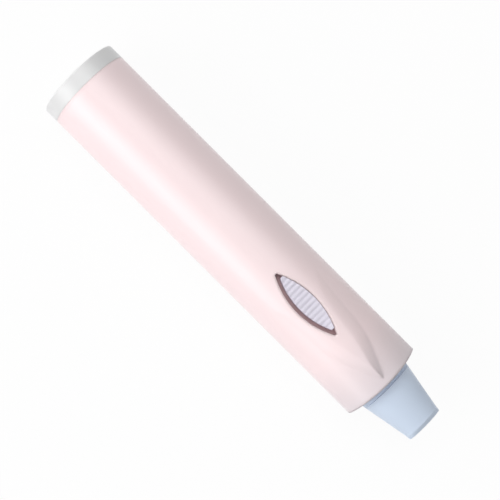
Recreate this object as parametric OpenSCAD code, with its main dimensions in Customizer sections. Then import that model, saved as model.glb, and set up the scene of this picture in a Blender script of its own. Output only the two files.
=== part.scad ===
// Heated eyelash curler in pen form: barrel, twist-off rear cap, ribbed push button,
// one AA cell, switch board and a tapered warm head with a comb.
// Lies on its side: pen axis along X, head at +X, button facing +Z, lowest line at Z = 0.

/* [Barrel] */
// Outside diameter of the barrel and the cap
barrel_d = 20.8; // [20.4:0.1:21.2]
// Wall of the barrel around the cell
barrel_wall = 1.4; // [1.3:0.05:1.5]
// Length of the barrel from the tip of the almond opening to its front end
front_len = 14.9; // [14.2:0.05:16.5]
// Step by which the bore narrows in front of the cell
bore_step = 0.8; // [0.7:0.05:0.9]
// Thickness of the wall that closes the front of the barrel
front_wall = 1.6; // [1.2:0.1:1.8]
// Length of the rim around the foot of the head
rim_len = 0.8; // [0.6:0.05:1]
// Set-back of the rim at both sides, which arches its front edge
rim_arch = 0.6; // [0.4:0.05:0.8]

/* [Leaf tongue] */
// Half width of the tongue where its edge starts to bend inward
tongue_half = 5.16; // [4.8:0.04:5.6]
// Distance from the front end back to the start of that bend
tongue_bend_from_front = 14.65; // [13.5:0.05:16]
// Radius of the bend of the tongue edge
tongue_bend_r = 26.2; // [24:0.2:30]
// Angle by which the edge closes in behind the bend
tongue_taper = 6.3; // [5:0.1:7]
// Sideways lean of the plane the edge lies in
tongue_lean = 11.8; // [10:0.2:14]
// Radius of the soft shoulder
shoulder_r = 8; // [7.6:0.1:8.6]
// Width of the soft shoulder
shoulder_w = 3.5; // [3:0.1:3.6]
// Drop of the skin beside the tongue at the front end
skin_drop = 1.5; // [1.1:0.05:1.6]
// Length over which the skin drops away
skin_run = 33.5; // [32.5:0.1:34]
// Extra radius of the dropped skin, which flattens it
skin_flat = 0.6; // [0.4:0.05:0.8]

/* [Button] */
// Distance from the step in the bore to the rear tip of the almond opening
opening_back = 0.6; // [0.5:0.05:1]
// Length of the almond opening from point to point, before its tips are cut blunt
opening_len = 19.8; // [19.4:0.1:20]
// Width of the almond opening
opening_w = 5.3; // [5.2:0.05:5.5]
// Sideways place of the opening, which leaves a finger gap on one side of the button
opening_side = -0.68; // [-0.76:0.02:-0.6]
// Length cut off each tip of the opening and of the button
tip_cut = 0.45; // [0.3:0.05:0.6]
// Length of the button from point to point
button_len = 17; // [16.6:0.1:17.2]
// Width of the button
button_w = 3.95; // [3.8:0.05:4]
// Gap between the button and the near side of the opening
button_gap = 0.32; // [0.3:0.02:0.4]
// Depth of the crown of the button below the barrel
button_recess = 0.7; // [0.6:0.05:0.8]
// Width of the flange that keeps the button in
button_flange = 0.9; // [0.7:0.05:1.1]
// Travel of the button
button_travel = 0.6; // [0.4:0.05:0.6]
// Number of grooves across the button
groove_count = 13; // [9:2:13]
// Distance from groove to groove
groove_pitch = 1.16; // [1.1:0.01:1.18]
// Radius of a groove
groove_r = 0.48; // [0.42:0.02:0.52]
// Depth of a groove
groove_depth = 0.24; // [0.16:0.02:0.28]

/* [Rear cap] */
// Visible height of the cap
cap_h = 3.55; // [3.2:0.05:3.9]
// Seam between cap and barrel
cap_seam = 0.15; // [0.12:0.01:0.2]
// Depth of the seam, where a lip of the cap half closes it
seam_depth = 0.1; // [0.08:0.01:0.15]
// Depth of the plug that enters the barrel
plug_h = 4.45; // [4.4:0.05:5]
// Wall of the plug
plug_wall = 1.3; // [1.2:0.05:1.4]
// Thickness of the end wall of the cap
cap_floor = 1.6; // [1.4:0.1:1.8]
// Rounding of the outer edge of the cap
cap_edge_r = 0.25; // [0.15:0.05:0.4]
// Twist that frees the cap
cap_twist = 45; // [40:1:50]
// Width of a bayonet lug as an angle
lug_angle = 24; // [20:1:28]
// Length of a bayonet lug along the pen
lug_len = 1.2; // [1:0.05:1.4]
// Height of a bayonet lug
lug_h = 0.8; // [0.7:0.05:0.85]

/* [Cell and contacts] */
// Diameter of the AA cell
cell_d = 14.2; // [13.8:0.1:14.4]
// Length of the can of the cell
cell_len = 49; // [48.8:0.1:49.2]
// Height of the positive end
nub_h = 1.2; // [1:0.1:1.4]
// Diameter of the positive end
nub_d = 5.4; // [5:0.1:5.5]
// Thickness of contact sheet
sheet_t = 0.3; // [0.25:0.05:0.4]
// Diameter of the spring wire
spring_wire = 0.7; // [0.6:0.05:0.75]
// Turns of the spring
spring_turns = 3.5; // [3:0.5:3.5]
// Mean diameter of the spring at the cap
spring_base_d = 10; // [9:0.2:10.4]
// Mean diameter of the spring at the cell
spring_top_d = 6; // [5.6:0.2:7]

/* [Board and switch] */
// Width of the board
board_w = 11.4; // [10.8:0.2:11.8]
// Thickness of the board
board_t = 1; // [0.8:0.1:1.2]
// Height of the upper face of the board above the pen axis
board_top = 0.6; // [0.4:0.1:0.8]
// Side of the square switch body
switch_side = 6; // [5.6:0.1:6.2]
// Height of the switch body
switch_h = 3.2; // [3:0.1:3.3]
// Radius of the switch plunger
plunger_r = 1.7; // [1.5:0.05:1.8]
// Diameter of the shank of a small screw
screw_d = 1.5; // [1.4:0.05:1.6]
// Diameter of an insulated lead
lead_d = 1; // [0.8:0.05:1.1]

/* [Head] */
// Length of the head in front of the barrel
head_len = 14.4; // [13.8:0.1:15]
// Width of the head at the barrel
head_base_w = 14.55; // [14.1:0.05:15]
// Width of the head at its end
head_end_w = 9.7; // [9.4:0.05:10]
// Rise of the back of the head at the barrel
head_base_up = 5.2; // [4.9:0.1:5.4]
// Rise of the back of the head at its end
head_end_up = 3.2; // [3:0.1:3.4]
// Depth of the underside of the head at the barrel
head_base_down = 3.6; // [3.5:0.1:4]
// Depth of the underside of the head at its end
head_end_down = 2.6; // [2.5:0.1:3]
// Corner radius at the barrel
head_base_r = 3.4; // [3:0.1:3.5]
// Corner radius at the end
head_end_r = 1.6; // [1.4:0.1:1.8]
// Length of the bevel on the end of the head
head_bevel = 1.1; // [0.8:0.05:1.2]
// Share of the bevel on the sides of the end
bevel_side = 0.1; // [0.05:0.05:0.3]
// Width of the neck that enters the barrel
neck_w = 10; // [9.8:0.1:10.2]
// Height of the neck
neck_h = 6; // [5.8:0.1:6.2]
// Distance from tooth to tooth of the comb
tooth_pitch = 1; // [0.95:0.05:1]
// Teeth in a row
tooth_count = 10; // [8:1:10]
// Thickness of a tooth
tooth_t = 0.45; // [0.4:0.05:0.5]
// Depth of the tooth tips below the pen axis
tooth_reach = 4.7; // [4.4:0.1:5]

/* [Clearances] */
// Clearance around a seated piece
fit_gap = 0.3; // [0.3:0.01:0.35]
// Clearance of a press contact
touch_gap = 0.1; // [0.08:0.01:0.12]
// Clearance around a screw shank
screw_gap = 0.08; // [0.06:0.01:0.1]

/* [Hidden] */

// Radii across the pen
R = barrel_d / 2;
bore_r = R - barrel_wall;
front_bore_r = bore_r - bore_step;
cell_r = cell_d / 2;
plug_r = bore_r - fit_gap;
cup_r = plug_r - plug_wall;
frame_r = bore_r - fit_gap;
bulkhead_r = frame_r - touch_gap;
frame_front_r = front_bore_r - fit_gap;
trough_r = cell_r + fit_gap;

// Stations along the pen, counted from the rear face
barrel_z0 = cap_h + cap_seam;
plug_z1 = cap_h + plug_h;
cup_z1 = plug_z1 + sheet_t;
cell_z0 = cup_z1 + fit_gap;
cell_z1 = cell_z0 + cell_len;
nub_z1 = cell_z1 + nub_h;
leaf_z = nub_z1 + touch_gap;
bulkhead_t = 2.4;
bulkhead_z0 = leaf_z + sheet_t + fit_gap;
bulkhead_z1 = bulkhead_z0 + bulkhead_t;
step_z = bulkhead_z1 + fit_gap;
button_z = step_z + opening_back + opening_len / 2;
barrel_z1 = button_z + opening_len / 2 + front_len;
wall_z = barrel_z1 - front_wall;
rim_z1 = barrel_z1 + rim_len;
arch_r = (R * R + rim_arch * rim_arch) / (2 * rim_arch);
neck_tail = 3.6;
neck_z0 = wall_z - neck_tail;
front_bulkhead_t = 1.5;
front_bulkhead_z0 = neck_z0 - fit_gap - front_bulkhead_t;
head_z0 = barrel_z1 + touch_gap;
head_z1 = head_z0 + head_len;
board_z0 = step_z + 0.4;
board_z1 = front_bulkhead_z0 - 1.9;
total_len = head_z1;

// Leaf tongue
skin_r = R + skin_flat;
skin_z0 = barrel_z1 - skin_run;
skin_tilt = atan(skin_drop / skin_run);
skin_join = skin_z0 + 2;
bend_z = barrel_z1 - tongue_bend_from_front;
bend_drop = skin_drop * (bend_z - skin_z0) / skin_run;
edge_y = sqrt(skin_r * skin_r - tongue_half * tongue_half) - skin_flat - bend_drop;
// Barrel circle seen from the edge of the tongue, in the leaning plane
crown_s = -tongue_half * cos(tongue_lean) + edge_y * sin(tongue_lean);
crown_a = -tongue_half * sin(tongue_lean) - edge_y * cos(tongue_lean);
// Second point of the shoulder arc lies on the barrel circle
arc_a = crown_a + sqrt(R * R - pow(-shoulder_w - crown_s, 2));
chord = sqrt(shoulder_w * shoulder_w + arc_a * arc_a);
arc_back = sqrt(shoulder_r * shoulder_r - chord * chord / 4);
arc_cs = -shoulder_w / 2 - arc_back * arc_a / chord;
arc_ca = arc_a / 2 - arc_back * shoulder_w / chord;
crown_lid = (arc_ca + shoulder_r + crown_a + R) / 2;

// Almond of the opening
almond_r = (opening_len * opening_len / 4 + opening_w * opening_w / 4) / opening_w;
almond_off = almond_r - opening_w / 2;
opening_arcs = [[opening_side - almond_off, almond_r], [opening_side + almond_off, almond_r]];
flange_arcs = [for (arc = opening_arcs) [arc[0], arc[1] + button_flange]];
opening_reach = opening_len / 2 - tip_cut;
flange_reach = opening_len / 2 + 0.5;
// Almond of the button: its near side runs along the opening, its far side closes on the tips
near_x = opening_arcs[0][0];
near_r = almond_r - button_gap;
tip_x = near_x + sqrt(near_r * near_r - button_len * button_len / 4);
far_side = near_x + near_r - button_w;
far_sag = tip_x - far_side;
far_r = (button_len * button_len / 4 + far_sag * far_sag) / (2 * far_sag);
button_arcs = [[near_x, near_r], [far_side + far_r, far_r]];
button_reach = button_len / 2 - tip_cut;
button_top_r = R - button_recess;
plunger_top = board_top + switch_h + 1.1;
boss_y = plunger_top + touch_gap;
flange_y = boss_y + 0.3;

// Bayonet
lug_z = cap_h + plug_h / 2 + 0.5;
lug_r = plug_r + lug_h;
groove_wall_r = lug_r + fit_gap - 0.1;
slack_angle = 2;

// Board stack
board_y0 = board_top - board_t;
deck_y1 = board_y0 - 1.6;
deck_t = 1.4;
deck_w = 12.6;
screw_r = screw_d / 2;
screw_head_r = screw_r + 0.55;
screw_head_h = 0.9;
board_screw_x = board_w / 2 - 1.3;
board_screw_z = [board_z0 + 3.6, board_z1 - 2.6];
board_screw_len = 4;
head_screw_x = 4.1;
head_screw_r = 0.6;
head_screw_rim = 0.5;
head_screw_bite = 3;
head_screw_len = front_bulkhead_t + fit_gap + head_screw_bite;
chip_w = 4.8;
chip_h = 1.3;
chip_len = 3.4;
chip_gap = 1;
chip_z = button_z + switch_side / 2 + chip_gap;
part_w = 0.9;
part_h = 0.7;
part_len = 1.5;
part_pitch = 2;
part_x = chip_w / 2 + chip_gap;
leaf_half = 2.5;
leaf_down = 3;
lead_x = 2.2;
lead_y = board_top + lead_d / 2 + touch_gap;
leaf_tab_x = 3;
leaf_tab_w = 2;
strip_w = 3;
strip_y = sqrt(bore_r * bore_r - strip_w * strip_w / 4) - fit_gap - sheet_t;
strip_drop_z = bulkhead_z0 + 1.1;

// Head
neck_cave_w = 6.4;
neck_cave_h = 4.4;
pocket_w = 5.6;
pocket_y = -0.6;
pocket_z0 = head_z0 + 1.4;
// Outline of the foot of the head with its clearance: elliptic back, then the two round corners
seat_half = head_base_w / 2 + fit_gap;
seat_up = head_base_up + fit_gap;
seat_r = head_base_r + fit_gap;
corner_x = head_base_w / 2 - head_base_r;
corner_y = head_base_r - head_base_down;
seat_outline = concat(
  [for (a = [0 : 6 : 180]) [seat_half * cos(a), seat_up * sin(a)]],
  [for (a = [180 : 9 : 270]) [-corner_x + seat_r * cos(a), corner_y + seat_r * sin(a)]],
  [for (a = [270 : 9 : 360]) [corner_x + seat_r * cos(a), corner_y + seat_r * sin(a)]]
);
pocket_len = tooth_count * tooth_pitch + 0.6;
sheet_y = pocket_y - touch_gap;
mica_t = 0.3;
element_t = 0.5;
plate_t = 1.1;
plate_w = 2.6;
plate_crown_r = 2.4;
comb_rail_w = 1;
comb_rail_h = 1.5;
comb_end = 0.5;
stack_z0 = pocket_z0 + comb_end + 2 * touch_gap;
stack_len = pocket_len - 2 * comb_end - 4 * touch_gap;

// Pen coordinates: x to the side, y toward the button, z along the pen
module lay_down() {
  translate([-total_len / 2, 0, R])
    rotate([90, 0, 90])
      children();
}

// A box given by its corner and size
module box(corner, size) {
  translate(corner)
    cube(size);
}

// A round bar along the pen
module bar(r, z0, z1, sides = 96) {
  translate([0, 0, z0])
    cylinder(r = r, h = z1 - z0, $fn = sides);
}

// A round bar that points toward the button
module post(r, y0, y1, x, z, sides = 48) {
  translate([x, y0, z])
    rotate([-90, 0, 0])
      cylinder(r = r, h = y1 - y0, $fn = sides);
}

// Almond prism that points toward the button: two arcs, and a circle that cuts its tips blunt
module almond(arcs, middle, reach, y0, y1) {
  translate([0, y1, button_z])
    rotate([90, 0, 0])
      linear_extrude(height = y1 - y0)
        intersection() {
          translate([arcs[0][0], 0])
            circle(r = arcs[0][1], $fn = 128);
          translate([arcs[1][0], 0])
            circle(r = arcs[1][1], $fn = 128);
          translate([middle, 0])
            circle(r = reach, $fn = 128);
        }
}

// Section of the tongue: flat crown that falls away in a soft shoulder
module tongue_section() {
  translate([tongue_bend_r + arc_cs, arc_ca])
    circle(r = shoulder_r, $fn = 128);
  translate([0, -R])
    square([tongue_bend_r + arc_cs, R + crown_lid]);
}

// Space under one shoulder of the tongue, on the +x side
module tongue_side() {
  translate([tongue_half, edge_y, bend_z])
    rotate([0, 0, -tongue_lean])
      rotate([0, -tongue_taper, 0]) {
        translate([-tongue_bend_r, 0, 0])
          rotate([-90, 0, 0])
            rotate_extrude($fn = 180)
              tongue_section();
        translate([-tongue_bend_r, 0, -skin_run])
          linear_extrude(height = skin_run + 0.01)
            tongue_section();
      }
}

// Leaf tongue between its two shoulders
module tongue() {
  intersection() {
    bar(R, skin_join - 1, barrel_z1, 128);
    tongue_side();
    mirror([1, 0, 0])
      tongue_side();
  }
}

// Skin beside the tongue, which drops toward the front and ends in the arched rim
module dropped_skin() {
  intersection() {
    bar(R, skin_join - 0.5, rim_z1, 128);
    translate([0, -skin_flat, skin_z0])
      rotate([skin_tilt, 0, 0])
        translate([0, 0, -4])
          cylinder(r = skin_r, h = skin_run + 12, $fn = 128);
    translate([0, R + 1, rim_z1 - arch_r])
      rotate([90, 0, 0])
        cylinder(r = arch_r, h = 2 * R + 2, $fn = 360);
  }
}

// Recess in the rim for the foot of the head
module head_seat() {
  translate([0, 0, barrel_z1])
    linear_extrude(height = rim_len + 1)
      polygon(seat_outline);
}

// Bayonet track: ring slot with its entry
module bayonet_track() {
  rotate([0, 0, -lug_angle / 2 - slack_angle])
    rotate_extrude(angle = cap_twist + lug_angle + 2 * slack_angle, $fn = 96)
      translate([bore_r - 0.4, lug_z - fit_gap])
        square([groove_wall_r - bore_r + 0.4, lug_len + 2 * fit_gap]);
  rotate([0, 0, cap_twist - lug_angle / 2 - slack_angle / 2])
    rotate_extrude(angle = lug_angle + slack_angle, $fn = 96)
      translate([bore_r - 0.5, barrel_z0 - 1])
        square([groove_wall_r - bore_r + 0.45, lug_z - barrel_z0 + lug_len / 2 + 1]);
}

// Pink barrel with the almond opening and the leaf tongue
module barrel() {
  color([0.98, 0.90, 0.90])
    lay_down()
      difference() {
        union() {
          bar(R, barrel_z0, skin_join, 128);
          dropped_skin();
          tongue();
        }
        bar(bore_r, barrel_z0 - 1, step_z);
        bar(front_bore_r, step_z - 1, wall_z);
        box([-neck_w / 2 - fit_gap, -neck_h / 2 - fit_gap, wall_z - 1],
            [neck_w + 2 * fit_gap, neck_h + 2 * fit_gap, front_wall + 2]);
        head_seat();
        almond(opening_arcs, opening_side, opening_reach, front_bore_r - 3, R + 1);
        bayonet_track();
        rotate([0, 0, 180])
          bayonet_track();
      }
}

// Translucent end cap with plug and two bayonet lugs
module rear_cap() {
  color([0.85, 0.85, 0.86])
    lay_down() {
      rotate_extrude($fn = 128)
        difference() {
          union() {
            square([R - cap_edge_r, cap_h]);
            translate([0, cap_edge_r])
              square([R, cap_h - cap_edge_r]);
            translate([R - cap_edge_r, cap_edge_r])
              circle(r = cap_edge_r, $fn = 48);
            square([R - seam_depth, cap_h + cap_seam / 2]);
            square([plug_r, plug_z1]);
          }
          translate([-1, cap_floor])
            square([cup_r + 1, plug_z1]);
        }
      for (turn = [0, 180])
        rotate([0, 0, turn - lug_angle / 2])
          rotate_extrude(angle = lug_angle, $fn = 96)
            translate([plug_r - 0.3, lug_z])
              square([lug_h + 0.3, lug_len]);
    }
}

// Push button: crowned almond pad with cross grooves, flange and boss
module button() {
  color([0.88, 0.87, 0.92])
    lay_down() {
      difference() {
        union() {
          intersection() {
            almond(button_arcs, tip_x, button_reach, flange_y, R);
            bar(button_top_r, button_z - opening_len, button_z + opening_len, 128);
          }
          intersection() {
            almond(flange_arcs, opening_side, flange_reach, flange_y, R);
            bar(frame_front_r, button_z - opening_len, button_z + opening_len);
          }
          post(plunger_r + 0.3, boss_y, flange_y + 0.5, 0, button_z);
        }
        for (i = [0 : groove_count - 1])
          translate([0, 0, button_z + (i - (groove_count - 1) / 2) * groove_pitch])
            rotate_extrude($fn = 128)
              translate([button_top_r - groove_depth + groove_r, 0])
                circle(r = groove_r, $fn = 32);
      }
    }
}

// Cross section of the head: elliptic back over an underside with round corners
module head_plate(z, half, up, down, corner) {
  translate([0, 0, z])
    linear_extrude(height = 0.02)
      hull() {
        intersection() {
          scale([half, up])
            circle(r = 1, $fn = 72);
          translate([-half, 0])
            square([2 * half, up]);
        }
        for (side = [-1, 1])
          translate([side * (half - corner), corner - down])
            circle(r = corner, $fn = 40);
      }
}

// Head: tapered shell with rounded edges, bevelled end, neck and heater pocket
module head_shell() {
  color([0.80, 0.85, 0.92])
    lay_down()
      difference() {
        union() {
          hull() {
            head_plate(head_z0, head_base_w / 2, head_base_up, head_base_down, head_base_r);
            head_plate(head_z1 - head_bevel, head_end_w / 2, head_end_up, head_end_down, head_end_r);
            head_plate(head_z1 - 0.02, head_end_w / 2 - head_bevel * bevel_side, head_end_up - head_bevel,
                       head_end_down - head_bevel * bevel_side, head_end_r - head_bevel * bevel_side);
          }
          box([-neck_w / 2, -neck_h / 2, neck_z0], [neck_w, neck_h, head_z0 - neck_z0 + 0.5]);
        }
        box([-neck_cave_w / 2, -neck_cave_h / 2, neck_z0 - 1],
            [neck_cave_w, neck_cave_h, head_z0 - neck_z0 + 1.2]);
        box([-pocket_w / 2, -9, pocket_z0], [pocket_w, 9 + pocket_y, pocket_len]);
        box([-neck_cave_w / 2 + 0.4, pocket_y - 1, head_z0 - 0.5],
            [neck_cave_w - 0.8, lead_y + lead_d - pocket_y + 0.6, pocket_z0 - head_z0 + 1.1]);
        for (side = [-1, 1])
          translate([side * head_screw_x, 0, neck_z0 - 1])
            cylinder(r = head_screw_r + screw_gap, h = head_screw_bite + 1.4, $fn = 32);
      }
}

// Pressed cup in the cap: floor, spring centre, wall and contact rim
module cap_contact() {
  cup_in = cup_r - touch_gap - sheet_t;
  color([0.75, 0.75, 0.76])
    lay_down()
      rotate_extrude($fn = 96) {
        translate([0, cap_floor + touch_gap])
          square([cup_r - touch_gap, sheet_t]);
        translate([0, cap_floor + touch_gap])
          square([2, sheet_t + 0.9]);
        translate([cup_in, cap_floor + touch_gap])
          square([sheet_t, cup_z1 - cap_floor - touch_gap]);
        translate([cup_in, plug_z1 + touch_gap])
          square([plug_r - cup_in - 0.2, sheet_t - touch_gap]);
      }
}

// Spring: one unbroken wire that narrows toward the cell
spring_rings = 8 * spring_turns;
spring_sides = 6;
spring_lo = cap_floor + touch_gap + sheet_t + spring_wire / 2 + 0.05;
spring_hi = cup_z1 - spring_wire / 2;
spring_fall = (spring_base_d - spring_top_d) / 2 / spring_turns;
// Least gap of the wire to itself, measured between points more than half a turn apart
spring_spans = [for (i = [0 : spring_rings - 5], j = [i + 5 : spring_rings]) norm(wire_at(j) - wire_at(i))];
spring_space = min(spring_spans) - spring_wire;
echo(spring_least_gap = spring_space);

// Centre of the wire after i rings
function wire_at(i) =
  let (f = i / spring_rings, r = spring_base_d / 2 - f * spring_turns * spring_fall, a = 45 * i)
  [r * cos(a), r * sin(a), spring_lo + f * (spring_hi - spring_lo)];

// Point k of the ring around the wire
function wire_ring(i, k) =
  let (c = wire_at(i), a = 45 * i, b = 360 * k / spring_sides, w = spring_wire / 2)
  [c[0] + w * cos(b) * cos(a), c[1] + w * cos(b) * sin(a), c[2] + w * sin(b)];

// Index of a point, wrapped around the ring
function wire_id(i, k) = i * spring_sides + (k % spring_sides);

// Coil spring behind the cell
module battery_spring() {
  n = spring_sides;
  points = [for (i = [0 : spring_rings], k = [0 : n - 1]) wire_ring(i, k)];
  wall_a = [for (i = [0 : spring_rings - 1], k = [0 : n - 1])
            [wire_id(i, k), wire_id(i + 1, k), wire_id(i, k + 1)]];
  wall_b = [for (i = [0 : spring_rings - 1], k = [0 : n - 1])
            [wire_id(i, k + 1), wire_id(i + 1, k), wire_id(i + 1, k + 1)]];
  end_a = [for (k = [1 : n - 2]) [wire_id(0, 0), wire_id(0, k), wire_id(0, k + 1)]];
  end_b = [for (k = [1 : n - 2])
           [wire_id(spring_rings, 0), wire_id(spring_rings, k + 1), wire_id(spring_rings, k)]];
  color([0.72, 0.72, 0.73])
    lay_down()
      polyhedron(points = points, faces = concat(wall_a, wall_b, end_a, end_b));
}

// AA cell, can with rounded edges
module battery_can() {
  edge = 0.6;
  color([0.30, 0.32, 0.36])
    lay_down()
      rotate_extrude($fn = 96) {
        translate([0, cell_z0])
          square([cell_r - edge, cell_len]);
        translate([0, cell_z0 + edge])
          square([cell_r, cell_len - 2 * edge]);
        for (z = [cell_z0 + edge, cell_z1 - edge])
          translate([cell_r - edge, z])
            circle(r = edge, $fn = 32);
      }
}

// AA cell, positive end
module battery_nub() {
  color([0.80, 0.80, 0.80])
    lay_down()
      bar(nub_d / 2, cell_z1, nub_z1, 64);
}

// Inner frame: trough for the cell, bulkheads, board deck with two bosses, keel
module chassis() {
  trough_arc = 200;
  color([0.93, 0.93, 0.91])
    lay_down()
      difference() {
        union() {
          rotate([0, 0, 270 - trough_arc / 2])
            rotate_extrude(angle = trough_arc, $fn = 96)
              translate([trough_r, cup_z1 + 3 * fit_gap])
                square([frame_r - trough_r, bulkhead_z0 - cup_z1 - 3 * fit_gap + 0.5]);
          bar(bulkhead_r, bulkhead_z0, bulkhead_z1);
          bar(frame_front_r, front_bulkhead_z0, front_bulkhead_z0 + front_bulkhead_t);
          box([-deck_w / 2, deck_y1 - deck_t, bulkhead_z1 - 0.5],
              [deck_w, deck_t, front_bulkhead_z0 - bulkhead_z1 + 1]);
          box([-0.6, -frame_front_r + 0.4, bulkhead_z1 - 0.5],
              [1.2, frame_front_r + deck_y1 - 0.8, front_bulkhead_z0 - bulkhead_z1 + 1]);
          for (i = [0, 1])
            post(screw_head_r + 0.3, deck_y1 - 0.5, board_y0, (2 * i - 1) * board_screw_x, board_screw_z[i]);
        }
        box([-strip_w / 2 - fit_gap, board_top - fit_gap, bulkhead_z0 - 1],
            [strip_w + 2 * fit_gap, R, bulkhead_t + 2]);
        box([leaf_tab_x - fit_gap, board_top, bulkhead_z0 - 1],
            [leaf_tab_w + 2 * fit_gap, sheet_t + 3 * fit_gap, bulkhead_t + 2]);
        box([-lead_x - lead_d / 2 - fit_gap, lead_y - lead_d / 2 - fit_gap, front_bulkhead_z0 - 1],
            [2 * lead_x + lead_d + 2 * fit_gap, lead_d + 2 * fit_gap, front_bulkhead_t + 2]);
        for (side = [-1, 1])
          translate([side * head_screw_x, 0, front_bulkhead_z0 - 1])
            cylinder(r = head_screw_r + screw_gap, h = front_bulkhead_t + 2, $fn = 32);
        for (i = [0, 1])
          post(screw_r + screw_gap, deck_y1 - deck_t - 1, board_y0 + 1, (2 * i - 1) * board_screw_x,
               board_screw_z[i]);
      }
}

// Leaf at the positive end with a tab to the board
module positive_contact() {
  tab_y = board_top + fit_gap;
  color([0.80, 0.68, 0.42])
    lay_down() {
      box([-leaf_half, -leaf_down, leaf_z],
          [leaf_tab_x + leaf_tab_w + leaf_half, tab_y + sheet_t + leaf_down, sheet_t]);
      box([leaf_tab_x, tab_y, leaf_z], [leaf_tab_w, sheet_t, board_z0 + 2.4 - leaf_z]);
      box([leaf_tab_x, board_top, board_z0 + 1.4], [leaf_tab_w, fit_gap + sheet_t, 1]);
    }
}

// Strip from the cup of the cap along the cell to the board
module negative_strip() {
  color([0.80, 0.68, 0.42])
    lay_down() {
      box([-strip_w / 2, strip_y, cell_z0], [strip_w, sheet_t, strip_drop_z - cell_z0 + sheet_t]);
      box([-strip_w / 2, cell_r + 0.15, cell_z0], [strip_w, strip_y - cell_r, sheet_t]);
      box([-strip_w / 2, board_top, strip_drop_z], [strip_w, strip_y - board_top + 0.1, sheet_t]);
      box([-strip_w / 2, board_top, strip_drop_z], [strip_w, sheet_t, board_z0 + 2 - strip_drop_z]);
    }
}

// Board with two screw holes
module circuit_board() {
  color([0.20, 0.42, 0.26])
    lay_down()
      difference() {
        box([-board_w / 2, board_y0, board_z0], [board_w, board_t, board_z1 - board_z0]);
        for (i = [0, 1])
          post(screw_r + screw_gap, board_y0 - 1, board_top + 1, (2 * i - 1) * board_screw_x,
               board_screw_z[i], 32);
      }
}

// Push switch, body with the plunger well
module switch_body() {
  color([0.16, 0.16, 0.17])
    lay_down()
      difference() {
        box([-switch_side / 2, board_top, button_z - switch_side / 2], [switch_side, switch_h, switch_side]);
        post(plunger_r + fit_gap, board_top + switch_h / 2, board_top + switch_h + 1, 0, button_z);
      }
}

// Snap disc at the bottom of the well
module switch_disc() {
  color([0.75, 0.75, 0.76])
    lay_down()
      post(plunger_r, board_top + switch_h / 2, board_top + switch_h / 2 + 0.2, 0, button_z);
}

// Plunger of the switch, moved by the button
module switch_plunger() {
  color([0.90, 0.90, 0.88])
    lay_down()
      post(plunger_r, board_top + switch_h / 2 + button_travel + 0.5, plunger_top, 0, button_z);
}

// Heater driver chip
module control_chip() {
  color([0.12, 0.12, 0.13])
    lay_down()
      box([-chip_w / 2, board_top, chip_z], [chip_w, chip_h, chip_len]);
}

// Small parts on the board
module chip_parts() {
  color([0.68, 0.60, 0.48])
    lay_down()
      for (x = [-part_x - part_w, part_x], row = [0, 1, 2])
        box([x, board_top, chip_z + row * part_pitch], [part_w, part_h, part_len]);
}

// Two screws that hold the board
module board_screws() {
  color([0.70, 0.70, 0.71])
    lay_down()
      for (i = [0, 1]) {
        post(screw_r, board_top - board_screw_len, board_top + 0.2, (2 * i - 1) * board_screw_x,
             board_screw_z[i], 32);
        post(screw_head_r, board_top, board_top + screw_head_h, (2 * i - 1) * board_screw_x,
             board_screw_z[i], 32);
      }
}

// Two screws that hold the head to the frame
module head_screws() {
  color([0.70, 0.70, 0.71])
    lay_down()
      for (side = [-1, 1])
        translate([side * head_screw_x, 0, front_bulkhead_z0 - screw_head_h]) {
          cylinder(r = head_screw_r + head_screw_rim, h = screw_head_h, $fn = 32);
          cylinder(r = head_screw_r, h = screw_head_h + head_screw_len, $fn = 32);
        }
}

// Two leads from the board to the heater, with their solder joints
module lead_wires() {
  color([0.72, 0.20, 0.18])
    lay_down()
      for (side = [-1, 1]) {
        translate([side * lead_x, lead_y, board_z1 - 2.2])
          cylinder(r = lead_d / 2, h = pocket_z0 - board_z1 + 2.4, $fn = 32);
        post(lead_d / 2 - 0.1, board_top, lead_y, side * lead_x, board_z1 - 1.5, 32);
      }
}

// Over-temperature cut-out in the neck
module thermal_cutout() {
  cutout_r = 0.9;
  color([0.78, 0.76, 0.70])
    lay_down()
      translate([0, -neck_cave_h / 2 + cutout_r + touch_gap, neck_z0 + 0.5])
        cylinder(r = cutout_r, h = 4, $fn = 48);
}

// Mica sheet behind the heating strip
module insulator() {
  color([0.78, 0.72, 0.62])
    lay_down()
      box([-plate_w / 2, sheet_y - mica_t, stack_z0], [plate_w, mica_t, stack_len]);
}

// Heating strip
module heater_element() {
  color([0.86, 0.84, 0.80])
    lay_down()
      box([-plate_w / 2 + 0.1, sheet_y - mica_t - element_t, stack_z0 + 0.2],
          [plate_w - 0.2, element_t, stack_len - 0.4]);
}

// Warm plate with a rounded face
module heater_plate() {
  plate_y = sheet_y - mica_t - element_t;
  color([0.78, 0.70, 0.52])
    lay_down()
      intersection() {
        box([-plate_w / 2, plate_y - plate_t, stack_z0], [plate_w, plate_t, stack_len]);
        translate([0, plate_y - plate_t + plate_crown_r, pocket_z0])
          cylinder(r = plate_crown_r, h = pocket_len, $fn = 96);
      }
}

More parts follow.
